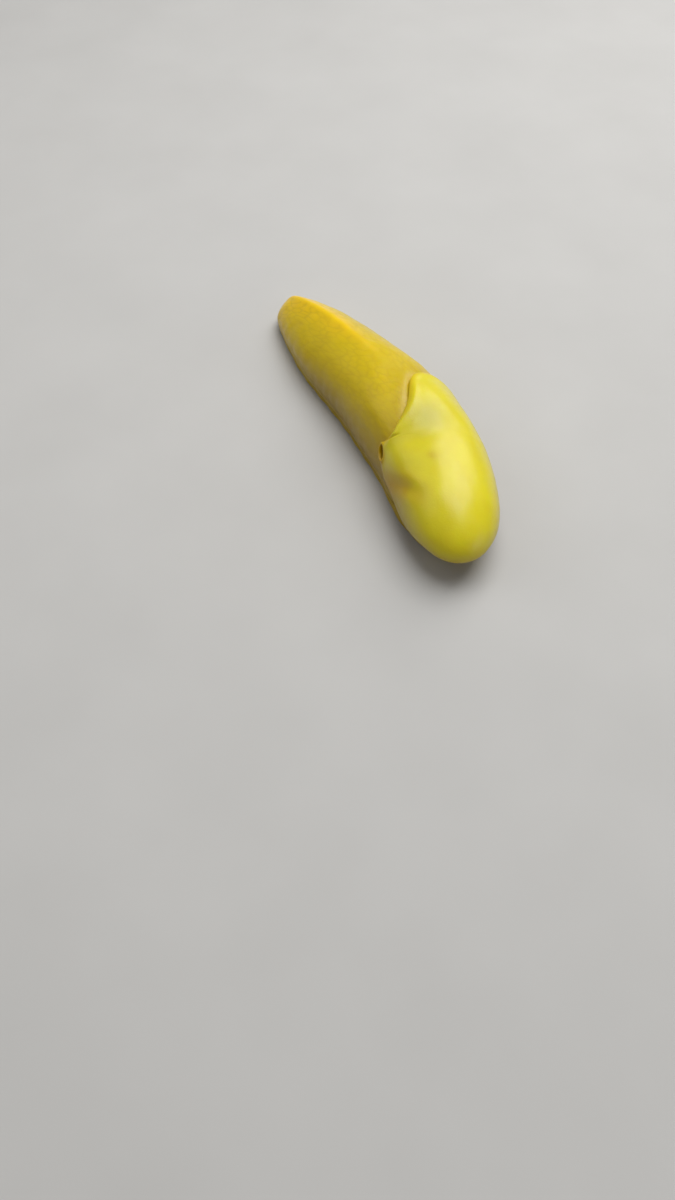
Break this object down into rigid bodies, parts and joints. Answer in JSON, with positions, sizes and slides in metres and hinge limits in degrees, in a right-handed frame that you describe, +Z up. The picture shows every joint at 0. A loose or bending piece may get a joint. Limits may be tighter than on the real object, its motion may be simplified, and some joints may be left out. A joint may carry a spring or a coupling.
{
  "type": "banana slug",
  "caption": "Life-size still model of a yellow banana slug, drawn in and resting on its foot, with keel, mantle, breathing pore and foot fringe.",
  "frame": {"origin": "middle of the bounding box, at the floor under the sole", "axes": "+Z up from the flat sole; +Y along the body towards the tail, so the head end points to -Y; +X to the animal's left"},
  "size_m": [0.043, 0.1318, 0.0266],
  "materials": {
    "back_skin": "moist yellow skin with a net of grooves, ochre towards the tail and keel, glossy with slime",
    "mantle_skin": "smooth, finely grained moist yellow skin, paler on top, with a soft wet gloss",
    "head_skin": "folded moist yellow skin",
    "foot_skin": "pale, wet, orange-cream foot with fine upright grooves along its fringe",
    "eye_skin": "glossy black eye spot"
  },
  "bodies": {
    "root": {"tail": "back_skin", "body_rear": "back_skin", "body_middle": "back_skin", "body_front": "back_skin", "mantle": "mantle_skin", "head": "head_skin", "tentacle_upper_left": "head_skin", "tentacle_upper_right": "head_skin", "tentacle_lower_left": "head_skin", "tentacle_lower_right": "head_skin", "eye_left": "eye_skin", "eye_right": "eye_skin", "foot_tail": "foot_skin", "foot_rear": "foot_skin", "foot_middle": "foot_skin", "foot_front": "foot_skin"}
  },
  "joints": []
}
